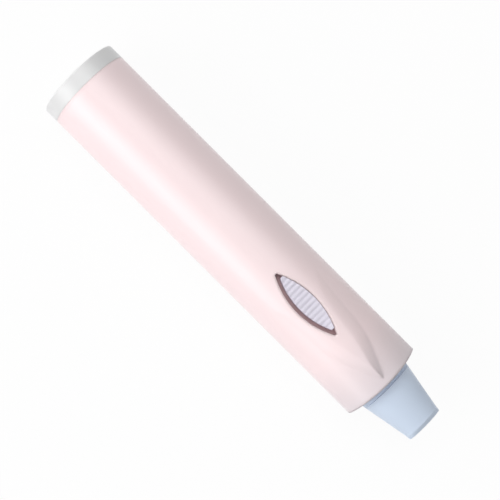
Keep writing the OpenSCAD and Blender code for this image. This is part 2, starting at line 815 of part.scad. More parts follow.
// Comb: two rails with a row of teeth each, joined at both ends
module comb() {
  rail_x = pocket_w / 2 - touch_gap - comb_rail_w;
  rail_y = sheet_y - comb_rail_h;
  color([0.90, 0.90, 0.93])
    lay_down() {
      for (side = [-1, 1])
        mirror([side < 0 ? 1 : 0, 0, 0]) {
          box([rail_x, rail_y, pocket_z0 + touch_gap],
              [comb_rail_w, comb_rail_h, pocket_len - 2 * touch_gap]);
          for (i = [0 : tooth_count - 1])
            box([rail_x + 0.2, -tooth_reach, pocket_z0 + 0.3 + (i + 0.5) * tooth_pitch - tooth_t / 2],
                [comb_rail_w - 0.2, tooth_reach + rail_y + 0.3, tooth_t]);
        }
      for (z = [pocket_z0 + touch_gap, pocket_z0 + pocket_len - touch_gap - comb_end])
        box([-rail_x - 0.1, rail_y, z], [2 * rail_x + 0.2, comb_rail_h, comb_end]);
    }
}

barrel();
rear_cap();
button();
head_shell();
cap_contact();
battery_spring();
battery_can();
battery_nub();
chassis();
positive_contact();
negative_strip();
circuit_board();
switch_body();
switch_disc();
switch_plunger();
control_chip();
chip_parts();
board_screws();
head_screws();
lead_wires();
thermal_cutout();
insulator();
heater_element();
heater_plate();
comb();
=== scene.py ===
import logging
import math
from dataclasses import dataclass, field
from enum import Enum
from typing import Optional, Sequence, Union

import bmesh
import bpy
from mathutils import Matrix, Vector


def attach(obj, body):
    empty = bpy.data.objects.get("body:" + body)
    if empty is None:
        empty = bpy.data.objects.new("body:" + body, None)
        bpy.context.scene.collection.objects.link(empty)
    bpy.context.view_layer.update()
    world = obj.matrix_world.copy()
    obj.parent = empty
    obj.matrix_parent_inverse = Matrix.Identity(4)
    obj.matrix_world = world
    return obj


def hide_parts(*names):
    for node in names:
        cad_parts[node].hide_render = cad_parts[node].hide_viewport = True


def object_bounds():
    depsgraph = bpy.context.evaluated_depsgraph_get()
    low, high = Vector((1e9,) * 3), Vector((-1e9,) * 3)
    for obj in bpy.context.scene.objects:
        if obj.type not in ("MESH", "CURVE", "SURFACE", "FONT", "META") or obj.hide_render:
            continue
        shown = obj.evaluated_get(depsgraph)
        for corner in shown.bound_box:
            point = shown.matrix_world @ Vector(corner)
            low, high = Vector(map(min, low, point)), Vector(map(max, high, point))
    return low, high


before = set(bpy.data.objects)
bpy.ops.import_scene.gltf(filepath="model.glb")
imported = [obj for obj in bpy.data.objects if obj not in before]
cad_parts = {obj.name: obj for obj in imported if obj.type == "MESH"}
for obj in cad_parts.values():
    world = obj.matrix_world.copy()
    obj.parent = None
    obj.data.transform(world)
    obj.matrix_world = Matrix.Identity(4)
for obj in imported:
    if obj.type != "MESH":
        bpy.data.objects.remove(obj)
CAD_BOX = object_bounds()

LOG = logging.getLogger("eyelash_curler")
MM = 0.001
NOISE_MIDDLE = 0.5

Vert = bmesh.types.BMVert
Face = bmesh.types.BMFace
Number = Union[int, float]
Span = tuple[float, float]
Triple = tuple[float, float, float]
Colour = Triple


class Body(Enum):
    """The moving bodies of the pen."""

    PEN = "pen"
    BUTTON = "push_button"
    CAP = "end_cap"


class Channel:
    """One socket of a node tree; arithmetic on it adds Math nodes."""

    def __init__(self, board: "NodeBoard", socket: bpy.types.NodeSocket) -> None:
        """Keeps the socket and the board it belongs to."""
        self.board = board
        self.socket = socket

    def _math(self, operation: str, first: "Value", second: "Value") -> "Channel":
        """Adds one Math node on two operands and returns its result."""
        return self.board.node("ShaderNodeMath", {"operation": operation}, {0: first, 1: second})

    def __add__(self, other: "Value") -> "Channel":
        """Sum."""
        return self._math("ADD", self, other)

    def __radd__(self, other: "Value") -> "Channel":
        """Sum with the number first."""
        return self._math("ADD", other, self)

    def __sub__(self, other: "Value") -> "Channel":
        """Difference."""
        return self._math("SUBTRACT", self, other)

    def __rsub__(self, other: "Value") -> "Channel":
        """Difference with the number first."""
        return self._math("SUBTRACT", other, self)

    def __mul__(self, other: "Value") -> "Channel":
        """Product."""
        return self._math("MULTIPLY", self, other)

    def __rmul__(self, other: "Value") -> "Channel":
        """Product with the number first."""
        return self._math("MULTIPLY", other, self)

    def __truediv__(self, other: "Value") -> "Channel":
        """Quotient."""
        return self._math("DIVIDE", self, other)

    def __rtruediv__(self, other: "Value") -> "Channel":
        """Quotient with the number first."""
        return self._math("DIVIDE", other, self)

    def clamp(self, low: float, high: float) -> "Channel":
        """Limits the value to the range from low to high."""
        return self._math("MINIMUM", self._math("MAXIMUM", self, low), high)


Value = Union[Number, Colour, Channel]


class NodeBoard:
    """A node tree under construction."""

    def __init__(self, tree: bpy.types.NodeTree) -> None:
        """Clears the tree."""
        self.tree = tree
        self.tree.nodes.clear()

    def node(
        self,
        kind: str,
        settings: Optional[dict[str, object]] = None,
        inputs: Optional[dict[Union[int, str], "Value"]] = None,
        output: Union[int, str] = 0,
    ) -> Channel:
        """Adds any node.

        Args:
            kind: Type name of the node.
            settings: Properties of the node.
            inputs: Values or links by socket name or number.
            output: Socket to return, by name or number.

        Returns:
            The chosen output socket, or the input of a node that ends the tree.
        """
        made = self.tree.nodes.new(kind)
        for key, value in (settings or {}).items():
            setattr(made, key, value)
        for key, value in (inputs or {}).items():
            socket = made.inputs[key]
            if isinstance(value, Channel):
                self.tree.links.new(value.socket, socket)
            elif socket.type == "RGBA" and len(value) == 3:
                socket.default_value = (*value, 1.0)
            else:
                socket.default_value = value
        sockets = made.outputs or made.inputs
        return Channel(self, sockets[output])

    def seen_directly(self) -> Channel:
        """Tells what the picture shows from what only lights it.

        Returns:
            1 for rays from the camera, a mirror or a clear piece, 0 for light that a surface scatters.
        """
        kinds = ("Is Camera Ray", "Is Glossy Ray", "Is Transmission Ray")
        camera, glossy, through = (self.node("ShaderNodeLightPath", output=kind) for kind in kinds)
        return (camera + glossy + through).clamp(0.0, 1.0)


class Paint(NodeBoard):
    """A material under construction: one Principled shader and the nodes that feed it."""

    NOISE_ROUGHNESS = 0.55
    EDGE_SAMPLES = 4
    MIX_FACTOR = 0
    MIX_FIRST = 6
    MIX_SECOND = 7
    MIX_RESULT = 2

    def __init__(self, name: str) -> None:
        """Starts an empty material.

        Args:
            name: Name of the material.
        """
        self.material = bpy.data.materials.new(name)
        self.material.use_nodes = True
        super().__init__(self.material.node_tree)
        self.place = self.node("ShaderNodeTexCoord", output="Object")

    def noise(self, size_mm: float, detail: float = 2.0, stretch: Triple = (1.0, 1.0, 1.0)) -> Channel:
        """Noise in object space.

        Args:
            size_mm: Size of its grains.
            detail: Octaves of the noise.
            stretch: Scale along each axis.

        Returns:
            The noise value, from 0 to 1.
        """
        place = self.node("ShaderNodeMapping", None, {"Vector": self.place, "Scale": stretch})
        return self.node(
            "ShaderNodeTexNoise",
            {"noise_dimensions": "3D"},
            {
                "Vector": place,
                "Scale": 1.0 / (size_mm * MM),
                "Detail": detail,
                "Roughness": self.NOISE_ROUGHNESS,
            },
        )

    def blend(self, factor: Value, first: Value, second: Value) -> Channel:
        """Mixes two colours by a factor."""
        inputs = {self.MIX_FACTOR: factor, self.MIX_FIRST: first, self.MIX_SECOND: second}
        return self.node("ShaderNodeMix", {"data_type": "RGBA"}, inputs, self.MIX_RESULT)

    def bump(self, height: Channel, strength: float, depth_mm: float, soft_edge_mm: float = 0.0) -> Channel:
        """Turns a height into a normal.

        Args:
            height: Height from 0 to 1.
            strength: Share of the effect.
            depth_mm: Depth that a height of 1 stands for.
            soft_edge_mm: Radius that the light sees on sharp edges.

        Returns:
            The bent normal.
        """
        inputs = {"Strength": strength, "Distance": depth_mm * MM, "Height": height}
        if soft_edge_mm:
            soft = {"Radius": soft_edge_mm * MM}
            inputs["Normal"] = self.node("ShaderNodeBevel", {"samples": self.EDGE_SAMPLES}, soft)
        return self.node("ShaderNodeBump", None, inputs)

    def finish(self, **inputs: Value) -> bpy.types.Material:
        """Adds the Principled shader.

        Args:
            **inputs: Its sockets, with spaces written as underscores.

        Returns:
            The finished material.
        """
        named = {key.replace("_", " "): value for key, value in inputs.items()}
        return self.close(self.node("ShaderNodeBsdfPrincipled", None, named))

    def close(self, surface: Channel) -> bpy.types.Material:
        """Leads a shader to the output and returns the finished material."""
        self.node("ShaderNodeOutputMaterial", None, {"Surface": surface})
        return self.material


@dataclass(frozen=True)
class MouldedPlastic:
    """Moulded plastic: faint flow mottling, fine mould grain, slight change of gloss."""

    name: str
    colour: Colour
    shade: Colour
    roughness: float
    grain_mm: float = 0.12
    grain_depth_mm: float = 0.002
    cloud_mm: float = 14.0
    coat: float = 0.0
    coat_roughness: float = 0.2
    translucency: float = 0.0
    specular: float = 0.5
    soft_edge_mm: float = 0.0
    flow: Triple = (0.4, 1.0, 1.0)
    mottle_from: float = 0.3
    cloud_rough: float = 0.08
    grain_rough: float = 0.06
    grain_strength: float = 0.5
    least_rough: float = 0.05

    def make(self) -> bpy.types.Material:
        """Builds the material.

        Returns:
            The finished material.
        """
        paint = Paint(self.name)
        cloud = paint.noise(self.cloud_mm, detail=2.0, stretch=self.flow)
        grain = paint.noise(self.grain_mm, detail=3.0)
        rough = self.roughness + (cloud - NOISE_MIDDLE) * self.cloud_rough
        rough = rough + (grain - NOISE_MIDDLE) * self.grain_rough
        return paint.finish(
            Base_Color=self.tint(paint, cloud),
            Roughness=rough.clamp(self.least_rough, 1.0),
            Normal=paint.bump(grain, self.grain_strength, self.grain_depth_mm, self.soft_edge_mm),
            Coat_Weight=self.coat,
            Coat_Roughness=self.coat_roughness,
            Transmission_Weight=self.translucency,
            Specular_IOR_Level=self.specular,
        )

    def tint(self, paint: Paint, cloud: Channel) -> Channel:
        """Colour of the surface, mottled by the noise of the flow."""
        return paint.blend((cloud - self.mottle_from).clamp(0.0, 1.0), self.colour, self.shade)


@dataclass(frozen=True)
class FrontShadedPlastic(MouldedPlastic):
    """Moulded plastic with painted shade that greys it along the pen toward the front end."""

    painted_front_shade: Colour = (0.80, 0.715, 0.74)
    shade_from_mm: float = 29.0
    shade_to_mm: float = 41.0
    ragged: float = 0.3

    def tint(self, paint: Paint, cloud: Channel) -> Channel:
        """Colour of the surface, which turns greyer toward the front as painted shade.

        Args:
            paint: Material under construction.
            cloud: Noise of the flow.

        Returns:
            The mottled colour, greyed toward the front by the painted shade.
        """
        # Painted shade: the colour greys toward the front end, standing in for light that falls off there.
        along = paint.node("ShaderNodeSeparateXYZ", None, {0: paint.place})
        run = (along - self.shade_from_mm * MM) / ((self.shade_to_mm - self.shade_from_mm) * MM)
        shade_share = (run + (cloud - NOISE_MIDDLE) * self.ragged).clamp(0.0, 1.0)
        return paint.blend(shade_share, super().tint(paint, cloud), self.painted_front_shade)


@dataclass(frozen=True)
class RolledMetal:
    """Stamped or drawn sheet metal with fine lines along one axis and dull patches."""

    name: str
    colour: Colour
    tarnish: Colour
    roughness: float
    line_mm: float = 0.08
    stretch: Triple = (0.06, 1.0, 1.0)
    line_depth_mm: float = 0.004
    line_strength: float = 0.4
    line_rough: float = 0.15
    patch_mm: float = 3.0
    patch_rough: float = 0.2
    patch_contrast: float = 2.0
    patch_most: float = 0.7
    least_rough: float = 0.08

    def make(self) -> bpy.types.Material:
        """Builds the material.

        Returns:
            The finished material.
        """
        paint = Paint(self.name)
        lines = paint.noise(self.line_mm, detail=2.0, stretch=self.stretch)
        patch = paint.noise(self.patch_mm, detail=4.0)
        dull = ((patch - NOISE_MIDDLE) * self.patch_contrast).clamp(0.0, self.patch_most)
        colour = paint.blend(dull, self.colour, self.tarnish)
        rough = self.roughness + (lines - NOISE_MIDDLE) * self.line_rough
        rough = rough + (patch - NOISE_MIDDLE) * self.patch_rough
        return paint.finish(
            Base_Color=colour,
            Metallic=1.0,
            Roughness=rough.clamp(self.least_rough, 1.0),
            Normal=paint.bump(lines, self.line_strength, self.line_depth_mm),
        )


@dataclass(frozen=True)
class SolderMask:
    """Green board: lacquer over a faint weave, with pale copper tracks below it."""

    name: str
    colour: Colour
    track: Colour
    pitch_mm: float = 4.0
    track_share: float = 0.03
    track_tint: float = 0.7
    weave_mm: float = 0.3
    weave_rough: float = 0.12
    roughness: float = 0.34
    relief_mm: float = 0.01
    relief_strength: float = 0.3
    lacquer: float = 0.3

    def make(self) -> bpy.types.Material:
        """Builds the material.

        Returns:
            The finished material.
        """
        paint = Paint(self.name)
        tracks = paint.node(
            "ShaderNodeTexBrick",
            {"offset": 0.5},
            {
                "Vector": paint.place,
                "Scale": 1.0 / (self.pitch_mm * MM),
                "Mortar Size": self.track_share,
            },
            "Fac",
        )
        weave = paint.noise(self.weave_mm, detail=2.0)
        return paint.finish(
            Base_Color=paint.blend(tracks * self.track_tint, self.colour, self.track),
            Roughness=self.roughness + weave * self.weave_rough,
            Normal=paint.bump(weave + tracks, self.relief_strength, self.relief_mm),
            Coat_Weight=self.lacquer,
        )


class Finish(Enum):
    """The finishes of the pen, one material each."""

    # The shell's colour greys toward the front end as painted shade.
    SHELL = FrontShadedPlastic(
        "pink_shell", (0.965, 0.800, 0.810), (0.955, 0.780, 0.792), 0.34, coat=0.15, coat_roughness=0.3,
        soft_edge_mm=1.1,
    )
    CAP = MouldedPlastic(
        "milky_cap", (0.86, 0.86, 0.862), (0.83, 0.83, 0.832), 0.30, cloud_mm=6.0, translucency=0.12
    )
    BUTTON = MouldedPlastic("lavender_button", (0.70, 0.67, 0.76), (0.67, 0.64, 0.73), 0.42, cloud_mm=5.0)
    HEAD = MouldedPlastic("pale_blue_head", (0.65, 0.745, 0.885), (0.63, 0.72, 0.865), 0.40, cloud_mm=8.0)
    # Painted shade: the flange is dusky pink, darker than the button, so the finger gap around the pad
    # reads dark.
    FLANGE_SHADE = MouldedPlastic(
        "flange_painted_shade", (0.70, 0.52, 0.53), (0.64, 0.47, 0.48), 0.75, cloud_mm=3.0, specular=0.2
    )
    COMB = MouldedPlastic("pale_comb", (0.78, 0.80, 0.86), (0.74, 0.76, 0.83), 0.45, cloud_mm=4.0)
    FRAME = MouldedPlastic("frame_plastic", (0.80, 0.80, 0.77), (0.74, 0.74, 0.71), 0.55)
    BLACK = MouldedPlastic("black_plastic", (0.022, 0.022, 0.025), (0.03, 0.03, 0.032), 0.5)
    SLEEVE = MouldedPlastic("red_sleeve", (0.42, 0.03, 0.03), (0.36, 0.025, 0.025), 0.5)
    FIRED = MouldedPlastic("fired_ceramic", (0.66, 0.58, 0.46), (0.58, 0.50, 0.40), 0.6, cloud_mm=1.5)
    MICA = MouldedPlastic("mica_sheet", (0.50, 0.42, 0.30), (0.62, 0.54, 0.40), 0.3, cloud_mm=1.2)
    CELL = MouldedPlastic("cell_sleeve", (0.10, 0.11, 0.13), (0.12, 0.13, 0.15), 0.3, coat=0.4)
    STEEL = RolledMetal("plated_steel", (0.70, 0.70, 0.71), (0.52, 0.51, 0.50), 0.26)
    BRASS = RolledMetal("contact_brass", (0.72, 0.55, 0.28), (0.55, 0.40, 0.20), 0.3)
    PLATE = RolledMetal("warm_plate", (0.72, 0.60, 0.38), (0.62, 0.50, 0.32), 0.34, 0.06, (1.0, 0.06, 1.0))
    BOARD = SolderMask("green_board", (0.03, 0.13, 0.06), (0.10, 0.30, 0.13))


@dataclass
class Wardrobe:
    """Makes each material once and puts it on CAD nodes and new pieces."""

    made: dict[Finish, bpy.types.Material] = field(default_factory=dict)

    def material(self, finish: Finish) -> bpy.types.Material:
        """Looks up a material, and builds it on first use.

        Args:
            finish: Finish to look up.

        Returns:
            Its material.
        """
        if finish not in self.made:
            self.made[finish] = finish.value.make()
        return self.made[finish]

    def dress(self, piece: bpy.types.Object, finish: Finish) -> None:
        """Gives a piece that finish in every material slot.

        Args:
            piece: CAD node or new piece.
            finish: Finish to wear.
        """
        material = self.material(finish)
        if not piece.material_slots:
            piece.data.materials.append(material)
        for slot in piece.material_slots:
            slot.material = material
        LOG.info("dressed %s in %s", piece.name, material.name)

    def dress_nodes(self, finish: Finish, *nodes: str) -> None:
        """Gives several CAD nodes that finish."""
        for name in nodes:
            self.dress(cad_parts[name], finish)


class Blank:
    """A mesh being shaped with operators, in pen millimetres.

    x runs across the pen, y toward the button and z along the pen from the rear face.
    """

    HALF_LENGTH = CAD_BOX[1][0] / MM
    AXIS_HEIGHT = CAD_BOX[1][2] / 2.0 / MM
    CUT_SNAP = 1e-5

    def __init__(self) -> None:
        """Starts an empty mesh."""
        self.bm = bmesh.new()

    def arc(self, centre: Span, start: Span, turn: float, steps: int) -> None:
        """Sweeps one point about a centre in the x, z plane.

        Args:
            centre: Centre of the arc.
            start: First point of the arc.
            turn: Angle of the sweep in radians.
            steps: Edges along the arc.
        """
        first = self.bm.verts.new((start[0], 0.0, start[1]))
        bmesh.ops.spin(
            self.bm,
            geom=[first],
            cent=(centre[0], 0.0, centre[1]),
            axis=(0.0, 1.0, 0.0),
            angle=turn,
            steps=steps,
            use_duplicate=False,
        )

    def turn_ring(self, section: Sequence[Span], steps: int) -> None:
        """Turns a closed section about the pen axis.

        Args:
            section: Corners, each as its radius and its place along the pen.
            steps: Segments of the whole turn.
        """
        corners = [self.bm.verts.new((radius, 0.0, along)) for radius, along in section]
        sides = [self.bm.edges.new((corners[index - 1], corner)) for index, corner in enumerate(corners)]
        bmesh.ops.spin(
            self.bm,
            geom=corners + sides,
            cent=(0.0, 0.0, 0.0),
            axis=(0.0, 0.0, 1.0),
            angle=2.0 * math.pi,
            steps=steps,
            use_merge=True,
            use_duplicate=False,
        )

    def weld(self, distance: float = 1e-4) -> None:
        """Merges points that lie on each other."""
        bmesh.ops.remove_doubles(self.bm, verts=self.bm.verts[:], dist=distance)

    def cut(self, point: Triple, normal: Triple, clear: bool = False) -> None:
        """Cuts the whole mesh by a plane.

        Args:
            point: Point on the plane.
            normal: Direction in which the plane looks.
            clear: Removes what lies on the side that the plane looks to.
        """
        bmesh.ops.bisect_plane(
            self.bm,
            geom=self.bm.verts[:] + self.bm.edges[:] + self.bm.faces[:],
            dist=self.CUT_SNAP,
            plane_co=point,
            plane_no=normal,
            clear_outer=clear,
        )

    def slice_lengthwise(self, pitch: float, count: int) -> None:
        """Cuts the mesh along the pen at an even pitch, so many times on each side of the middle."""
        for index in range(-count, count + 1):
            self.cut((index * pitch, 0.0, 0.0), (1.0, 0.0, 0.0))

    def drop_skirt(self, bottom: float) -> None:
        """Extrudes the open rim downward and closes it there.

        Args:
            bottom: Height of the level foot, above the pen axis.
        """
        walls = bmesh.ops.extrude_edge_only(self.bm, edges=self.rim())
        for item in walls["geom"]:
            if isinstance(item, Vert):
                item.co.y = bottom
        bmesh.ops.contextual_create(self.bm, geom=self.rim())

    def shift(self, along: float) -> None:
        """Moves the whole mesh along the pen."""
        bmesh.ops.translate(self.bm, vec=(0.0, 0.0, along), verts=self.bm.verts[:])

    def grow(self, front: list[Face], keep: bool) -> tuple[list[Vert], list[Face]]:
        """Extrudes the front of a drawn-out body by one ring.

        Args:
            front: Faces that close the body in front.
            keep: Leaves those faces in place, as the body's rear end.

        Returns:
            The points of the new ring, still in their old places, and the new front.
        """
        grown = bmesh.ops.extrude_face_region(self.bm, geom=front)["geom"]
        if not keep:
            bmesh.ops.delete(self.bm, geom=front, context="FACES_ONLY")
        ring = [item for item in grown if isinstance(item, Vert)]
        return ring, [item for item in grown if isinstance(item, Face)]

    def rim(self) -> list[bmesh.types.BMEdge]:
        """Edges that bound a single face."""
        return [edge for edge in self.bm.edges if edge.is_boundary]

    def object(self, name: str, sharp_deg: float = 40.0) -> bpy.types.Object:
        """Lays the pen on its side and hands over the finished piece.

        Args:
            name: Name of the piece.
            sharp_deg: Angle above which an edge stays sharp.

        Returns:
            The new object, at the origin.
        """
        self.weld()
        bmesh.ops.recalc_face_normals(self.bm, faces=self.bm.faces[:])
        turn = Matrix(((0, 0, 1), (1, 0, 0), (0, 1, 0))).to_4x4()
        place = Matrix.Translation((-self.HALF_LENGTH, 0.0, self.AXIS_HEIGHT))
        self.bm.transform(Matrix.Scale(MM, 4) @ place @ turn)
        for face in self.bm.faces:
            face.smooth = True
        mesh = bpy.data.meshes.new(name)
        self.bm.to_mesh(mesh)
        self.bm.free()
        mesh.set_sharp_from_angle(angle=math.radians(sharp_deg))
        made = bpy.data.objects.new(name, mesh)
        bpy.context.collection.objects.link(made)
        LOG.info("built %s: %d faces", name, len(mesh.polygons))
        return made


@dataclass
class Shell:
    """Outer case: barrel and rear cap, whose CAD solids are exact and stay, and the lip of the cap."""

    wardrobe: Wardrobe
    lip_r: float = 10.37
    lip_wall: float = 0.25
    lip_reach: Span = (3.5, 3.68)
    segments: int = 192

    def build(self) -> None:
        """Makes the lip, which fills the seam between cap and barrel."""
        rear, front = self.lip_reach
        bore = self.lip_r - self.lip_wall
        section = ((bore, rear), (self.lip_r, rear), (self.lip_r, front), (bore, front))
        lip = Blank()
        lip.turn_ring(section, self.segments)
        ring = lip.object("cap_lip")
        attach(ring, Body.CAP.value)
        self.wardrobe.dress(ring, Finish.CAP)

    def dress(self) -> None:
        """Paints the case."""
        self.wardrobe.dress_nodes(Finish.SHELL, "barrel")
        self.wardrobe.dress_nodes(Finish.CAP, "rear_cap")


@dataclass(frozen=True)
class Almond:
    """Outline of two arcs with blunt tips, in the x, z plane around the button.

    Each arc is given by the x of its centre and its radius.
    """

    near: Span
    far: Span
    reach: float
    steps: int = 64
    least_edge: float = 0.06

    def blank(self) -> Blank:
        """Sweeps both arcs, fills them, cuts the tips and merges the short edges that the cuts leave.

        Returns:
            A mesh with the flat outline as its only face.
        """
        (near_x, near_r), (far_x, far_r) = self.near, self.far
        apart = far_x - near_x
        inside = (apart * apart + near_r * near_r - far_r * far_r) / (2.0 * apart)
        tip_x = near_x + inside
        tip_z = math.sqrt(near_r * near_r - inside * inside)
        made = Blank()
        made.arc((near_x, 0.0), (tip_x, tip_z), 2.0 * math.atan2(tip_z, inside), self.steps)
        made.arc((far_x, 0.0), (tip_x, -tip_z), 2.0 * math.atan2(tip_z, apart - inside), self.steps)
        made.weld()
        bmesh.ops.contextual_create(made.bm, geom=made.bm.edges[:])
        for side in (-1.0, 1.0):
            made.cut((0.0, 0.0, side * self.reach), (0.0, 0.0, side), clear=True)
        made.weld(self.least_edge)
        return made

    def near_depth(self, x: float, z: float) -> float:
        """Distance from a point inside to the near arc."""
        centre, radius = self.near
        return radius - math.hypot(x - centre, z)

    def depth(self, x: float, z: float) -> float:
        """Distance from a point inside to the nearest part of the outline."""
        centre, radius = self.far
        return min(self.near_depth(x, z), radius - math.hypot(x - centre, z), self.reach - abs(z))


@dataclass
class PushButton:
    """Ribbed button and the switch below it."""

    wardrobe: Wardrobe
    middle: float = 72.7
    opening_len: float = 19.8
    opening_w: float = 5.3
    opening_side: float = -0.68
    near_r: float = 19.72
    far_arc: Span = (16.77, 19.15)
    pad_reach: float = 8.1
    pad_foot: float = 7.0
    crown_r: float = 9.7
    edge_r: float = 0.12
    edge_rings: Sequence[float] = (0.02, 0.03, 0.03, 0.04)
    near_rise: float = 0.6
    rise_w: float = 2.6
    rib_count: int = 13
    rib_pitch: float = 1.16
    rib_depth: float = 0.16
    rib_blunt: float = 1.3
    rib_samples: int = 8
    pad_pitch: float = 0.3
    pad_cuts: int = 6
    pad_sharp_deg: float = 50.0
    flange_lip: float = 0.9
    flange_reach: float = 10.35
    flange_r: float = 7.85
    flange_foot: float = 5.4
    flange_pitch: float = 0.5
    flange_cuts: int = 8
    outline: Almond = field(init=False)
    flange: Almond = field(init=False)

    def __post_init__(self) -> None:
        """Works out both outlines from the almond opening in the barrel."""
        radius = (self.opening_len**2 + self.opening_w**2) / (4.0 * self.opening_w)
        offset = radius - self.opening_w / 2.0
        near_x = self.opening_side - offset
        far_x = self.opening_side + offset
        covered = radius + self.flange_lip
        self.outline = Almond((near_x, self.near_r), self.far_arc, self.pad_reach)
        self.flange = Almond((near_x, covered), (far_x, covered), self.flange_reach)

    def groove(self, z: float) -> float:
        """Shape of the grooves between the ribs.

        Args:
            z: Place along the pen, from the middle of the button.

        Returns:
            Depth of the groove there.
        """
        if abs(z) > self.rib_count * self.rib_pitch / 2.0:
            return 0.0
        wave = 0.5 + 0.5 * math.cos(2.0 * math.pi * z / self.rib_pitch)
        return self.rib_depth * wave**self.rib_blunt

    def height(self, x: float, z: float) -> float:
        """Height of the pad above the pen axis.

        Args:
            x: Place across the pen.
            z: Place along the pen, from the middle of the button.

        Returns:
            The crown, raised toward the near side, less the soft edge and the grooves.
        """
        crown = math.sqrt(self.crown_r**2 - x * x)
        closeness = max(0.0, 1.0 - self.outline.near_depth(x, z) / self.rise_w)
        edge = max(0.0, self.edge_r - self.outline.depth(x, z))
        round_off = self.edge_r - math.sqrt(max(0.0, self.edge_r**2 - edge**2))
        return crown + self.near_rise * closeness**2 - round_off - self.groove(z)

    def build_pad(self) -> Blank:
        """Shapes the pad: outline, rings for the soft edge, cuts for the ribs, heights, then its wall.

        Returns:
            The closed pad, with its middle at the rear face of the pen.
        """
        pad = self.outline.blank()
        for ring in self.edge_rings:
            bmesh.ops.inset_region(
                pad.bm,
                faces=[max(pad.bm.faces, key=lambda face: face.calc_area())],
                thickness=ring,
                use_even_offset=True,
                use_boundary=True,
            )
        cuts = self.rib_count * self.rib_samples
        for index in range(cuts + 1):
            z = (index / cuts - 0.5) * self.rib_count * self.rib_pitch
            pad.cut((0.0, 0.0, z), (0.0, 0.0, 1.0))
        pad.slice_lengthwise(self.pad_pitch, self.pad_cuts)
        for vert in pad.bm.verts:
            vert.co.y = self.height(vert.co.x, vert.co.z)
        pad.drop_skirt(self.pad_foot)
        return pad

    def build_flange(self) -> Blank:
        """Shapes the flange below the opening, round like the bore, as the ground of the finger gap; its
        dusky pink is painted shade for the gap.

        Returns:
            The closed flange, with its middle at the rear face of the pen.
        """
        flange = self.flange.blank()
        flange.slice_lengthwise(self.flange_pitch, self.flange_cuts)
        for vert in flange.bm.verts:
            vert.co.y = math.sqrt(self.flange_r**2 - vert.co.x**2)
        flange.drop_skirt(self.flange_foot)
        return flange

    def build(self) -> None:
        """Makes the pad with its flange, in place of the plain button."""
        pad, flange = self.build_pad(), self.build_flange()
        for blank in (pad, flange):
            blank.shift(self.middle)
        made = (
            (pad.object("button_pad", self.pad_sharp_deg), Finish.BUTTON),
            (flange.object("button_flange"), Finish.FLANGE_SHADE),
        )
        for piece, finish in made:
            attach(piece, Body.BUTTON.value)
            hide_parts("button")
            self.wardrobe.dress(piece, finish)

    def dress(self) -> None:
        """Paints the switch."""
        self.wardrobe.dress_nodes(Finish.FRAME, "switch_plunger")
        self.wardrobe.dress_nodes(Finish.BLACK, "switch_body")
        self.wardrobe.dress_nodes(Finish.STEEL, "switch_disc")


